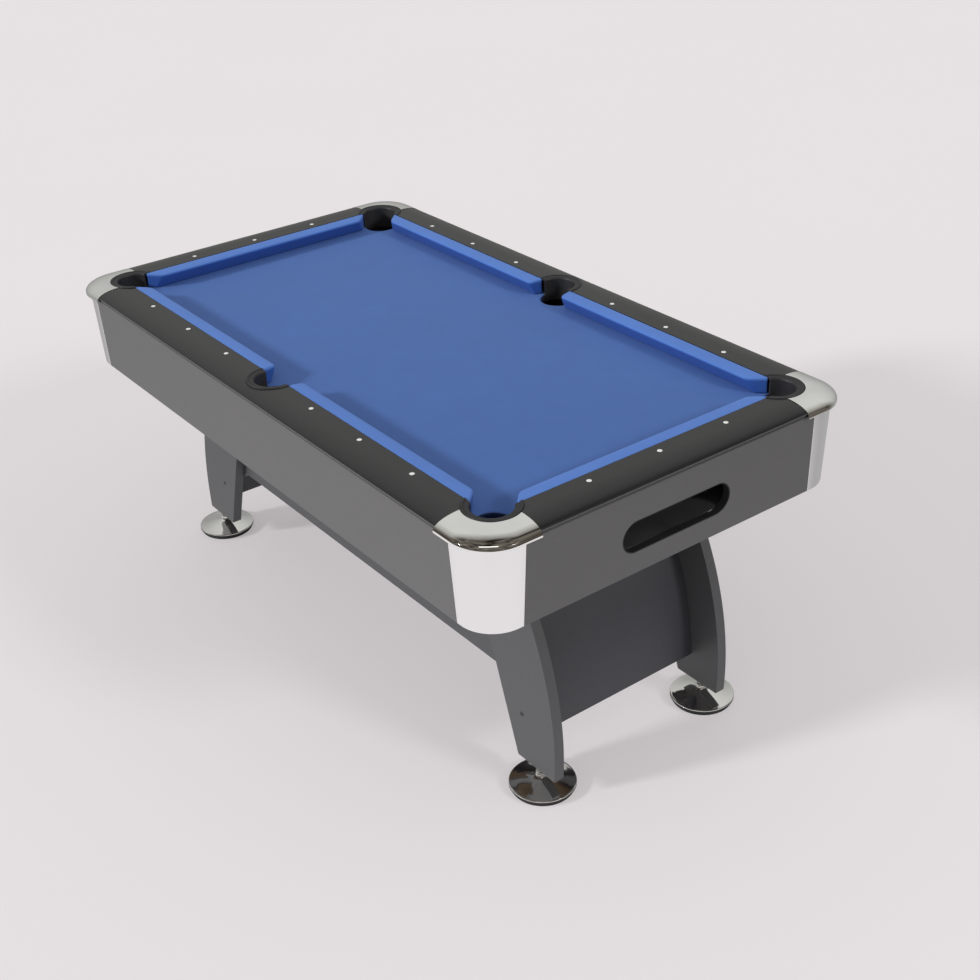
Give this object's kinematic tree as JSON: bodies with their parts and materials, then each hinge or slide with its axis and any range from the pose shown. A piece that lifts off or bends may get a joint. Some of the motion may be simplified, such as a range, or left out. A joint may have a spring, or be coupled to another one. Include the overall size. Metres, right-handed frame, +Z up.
{
  "type": "pool table",
  "caption": "Small home pool table with drop pockets, an inside ball return, chrome corner caps, a skirted pedestal base and screw-adjustable round feet.",
  "frame": {"origin": "on the floor under the middle of the playing field", "axes": "+X along the table to the ball-return end, +Y across it, +Z up"},
  "size_m": [1.782, 1.012, 0.7952],
  "materials": {
    "raw_board": "raw fibreboard",
    "bed_cloth": "woven wool-blend cloth",
    "cushion": "rubber profile wrapped in the same cloth",
    "rail_laminate": "satin laminate",
    "liner": "satin",
    "chrome": "mirror polished",
    "apron_laminate": "satin laminate",
    "satin_cover": "satin",
    "gutter": "moulded",
    "leg_laminate": "satin laminate",
    "foot_rubber": "matte",
    "foot_chrome": "polished"
  },
  "bodies": {
    "table": {"playfield_board": "raw_board", "bed_cloth": "bed_cloth", "side_rail_back": "rail_laminate", "side_rail_front": "rail_laminate", "end_rail_return": "rail_laminate", "end_rail_head": "rail_laminate", "cushion_back_return": "cushion", "cushion_back_head": "cushion", "cushion_front_head": "cushion", "cushion_front_return": "cushion", "cushion_end_return": "cushion", "cushion_end_head": "cushion", "pocket_liner_return_back": "liner", "pocket_liner_head_back": "liner", "pocket_liner_head_front": "liner", "pocket_liner_return_front": "liner", "pocket_liner_side_back": "liner", "pocket_liner_side_front": "liner", "corner_cap_return_back": "chrome", "corner_cap_head_back": "chrome", "corner_cap_head_front": "chrome", "corner_cap_return_front": "chrome", "side_apron_back": "apron_laminate", "side_apron_front": "apron_laminate", "end_apron_return": "apron_laminate", "end_apron_head": "apron_laminate", "corner_cover_return_back": "satin_cover", "corner_cover_head_back": "satin_cover", "corner_cover_head_front": "satin_cover", "corner_cover_return_front": "satin_cover", "ball_gutter_back": "gutter", "ball_gutter_front": "gutter", "ball_return_tray": "gutter", "base_bearer_return": "raw_board", "base_bearer_head": "raw_board", "field_beam_back": "raw_board", "field_beam_front": "raw_board", "corner_block_return_back": "raw_board", "corner_block_head_back": "raw_board", "corner_block_head_front": "raw_board", "corner_block_return_front": "raw_board", "leg_return_back": "leg_laminate", "leg_head_back": "leg_laminate", "leg_head_front": "leg_laminate", "leg_return_front": "leg_laminate", "end_panel_return": "leg_laminate", "end_panel_head": "leg_laminate", "side_panel_back": "leg_laminate", "side_panel_front": "leg_laminate"},
    "pad_return_back": {"foot_pad_return_back": "foot_rubber"},
    "pad_head_back": {"foot_pad_head_back": "foot_rubber"},
    "pad_head_front": {"foot_pad_head_front": "foot_rubber"},
    "pad_return_front": {"foot_pad_return_front": "foot_rubber"},
    "screw_return_back": {"foot_screw_return_back": "foot_chrome"},
    "screw_head_back": {"foot_screw_head_back": "foot_chrome"},
    "screw_head_front": {"foot_screw_head_front": "foot_chrome"},
    "screw_return_front": {"foot_screw_return_front": "foot_chrome"}
  },
  "joints": [
    {"name": "lift_return_back", "type": "slide", "parent": "table", "child": "pad_return_back", "axis": [0, 0, -1], "range_m": [0, 0.02]},
    {"name": "lift_head_back", "type": "slide", "parent": "table", "child": "pad_head_back", "axis": [0, 0, -1], "range_m": [0, 0.02]},
    {"name": "lift_head_front", "type": "slide", "parent": "table", "child": "pad_head_front", "axis": [0, 0, -1], "range_m": [0, 0.02]},
    {"name": "lift_return_front", "type": "slide", "parent": "table", "child": "pad_return_front", "axis": [0, 0, -1], "range_m": [0, 0.02]},
    {"name": "turn_return_back", "type": "hinge", "parent": "pad_return_back", "child": "screw_return_back", "pos_m": [0.728, 0.245, 0.03], "axis": [0, 0, -1], "range_deg": [0, 4100]},
    {"name": "turn_head_back", "type": "hinge", "parent": "pad_head_back", "child": "screw_head_back", "pos_m": [-0.728, 0.245, 0.03], "axis": [0, 0, -1], "range_deg": [0, 4100]},
    {"name": "turn_head_front", "type": "hinge", "parent": "pad_head_front", "child": "screw_head_front", "pos_m": [-0.728, -0.245, 0.03], "axis": [0, 0, -1], "range_deg": [0, 4100]},
    {"name": "turn_return_front", "type": "hinge", "parent": "pad_return_front", "child": "screw_return_front", "pos_m": [0.728, -0.245, 0.03], "axis": [0, 0, -1], "range_deg": [0, 4100]}
  ],
  "couplings": [
    {"joint": "lift_return_back", "follows": "turn_return_back", "m_per_rad": 0.00027852},
    {"joint": "lift_head_back", "follows": "turn_head_back", "m_per_rad": 0.00027852},
    {"joint": "lift_head_front", "follows": "turn_head_front", "m_per_rad": 0.00027852},
    {"joint": "lift_return_front", "follows": "turn_return_front", "m_per_rad": 0.00027852}
  ]
}
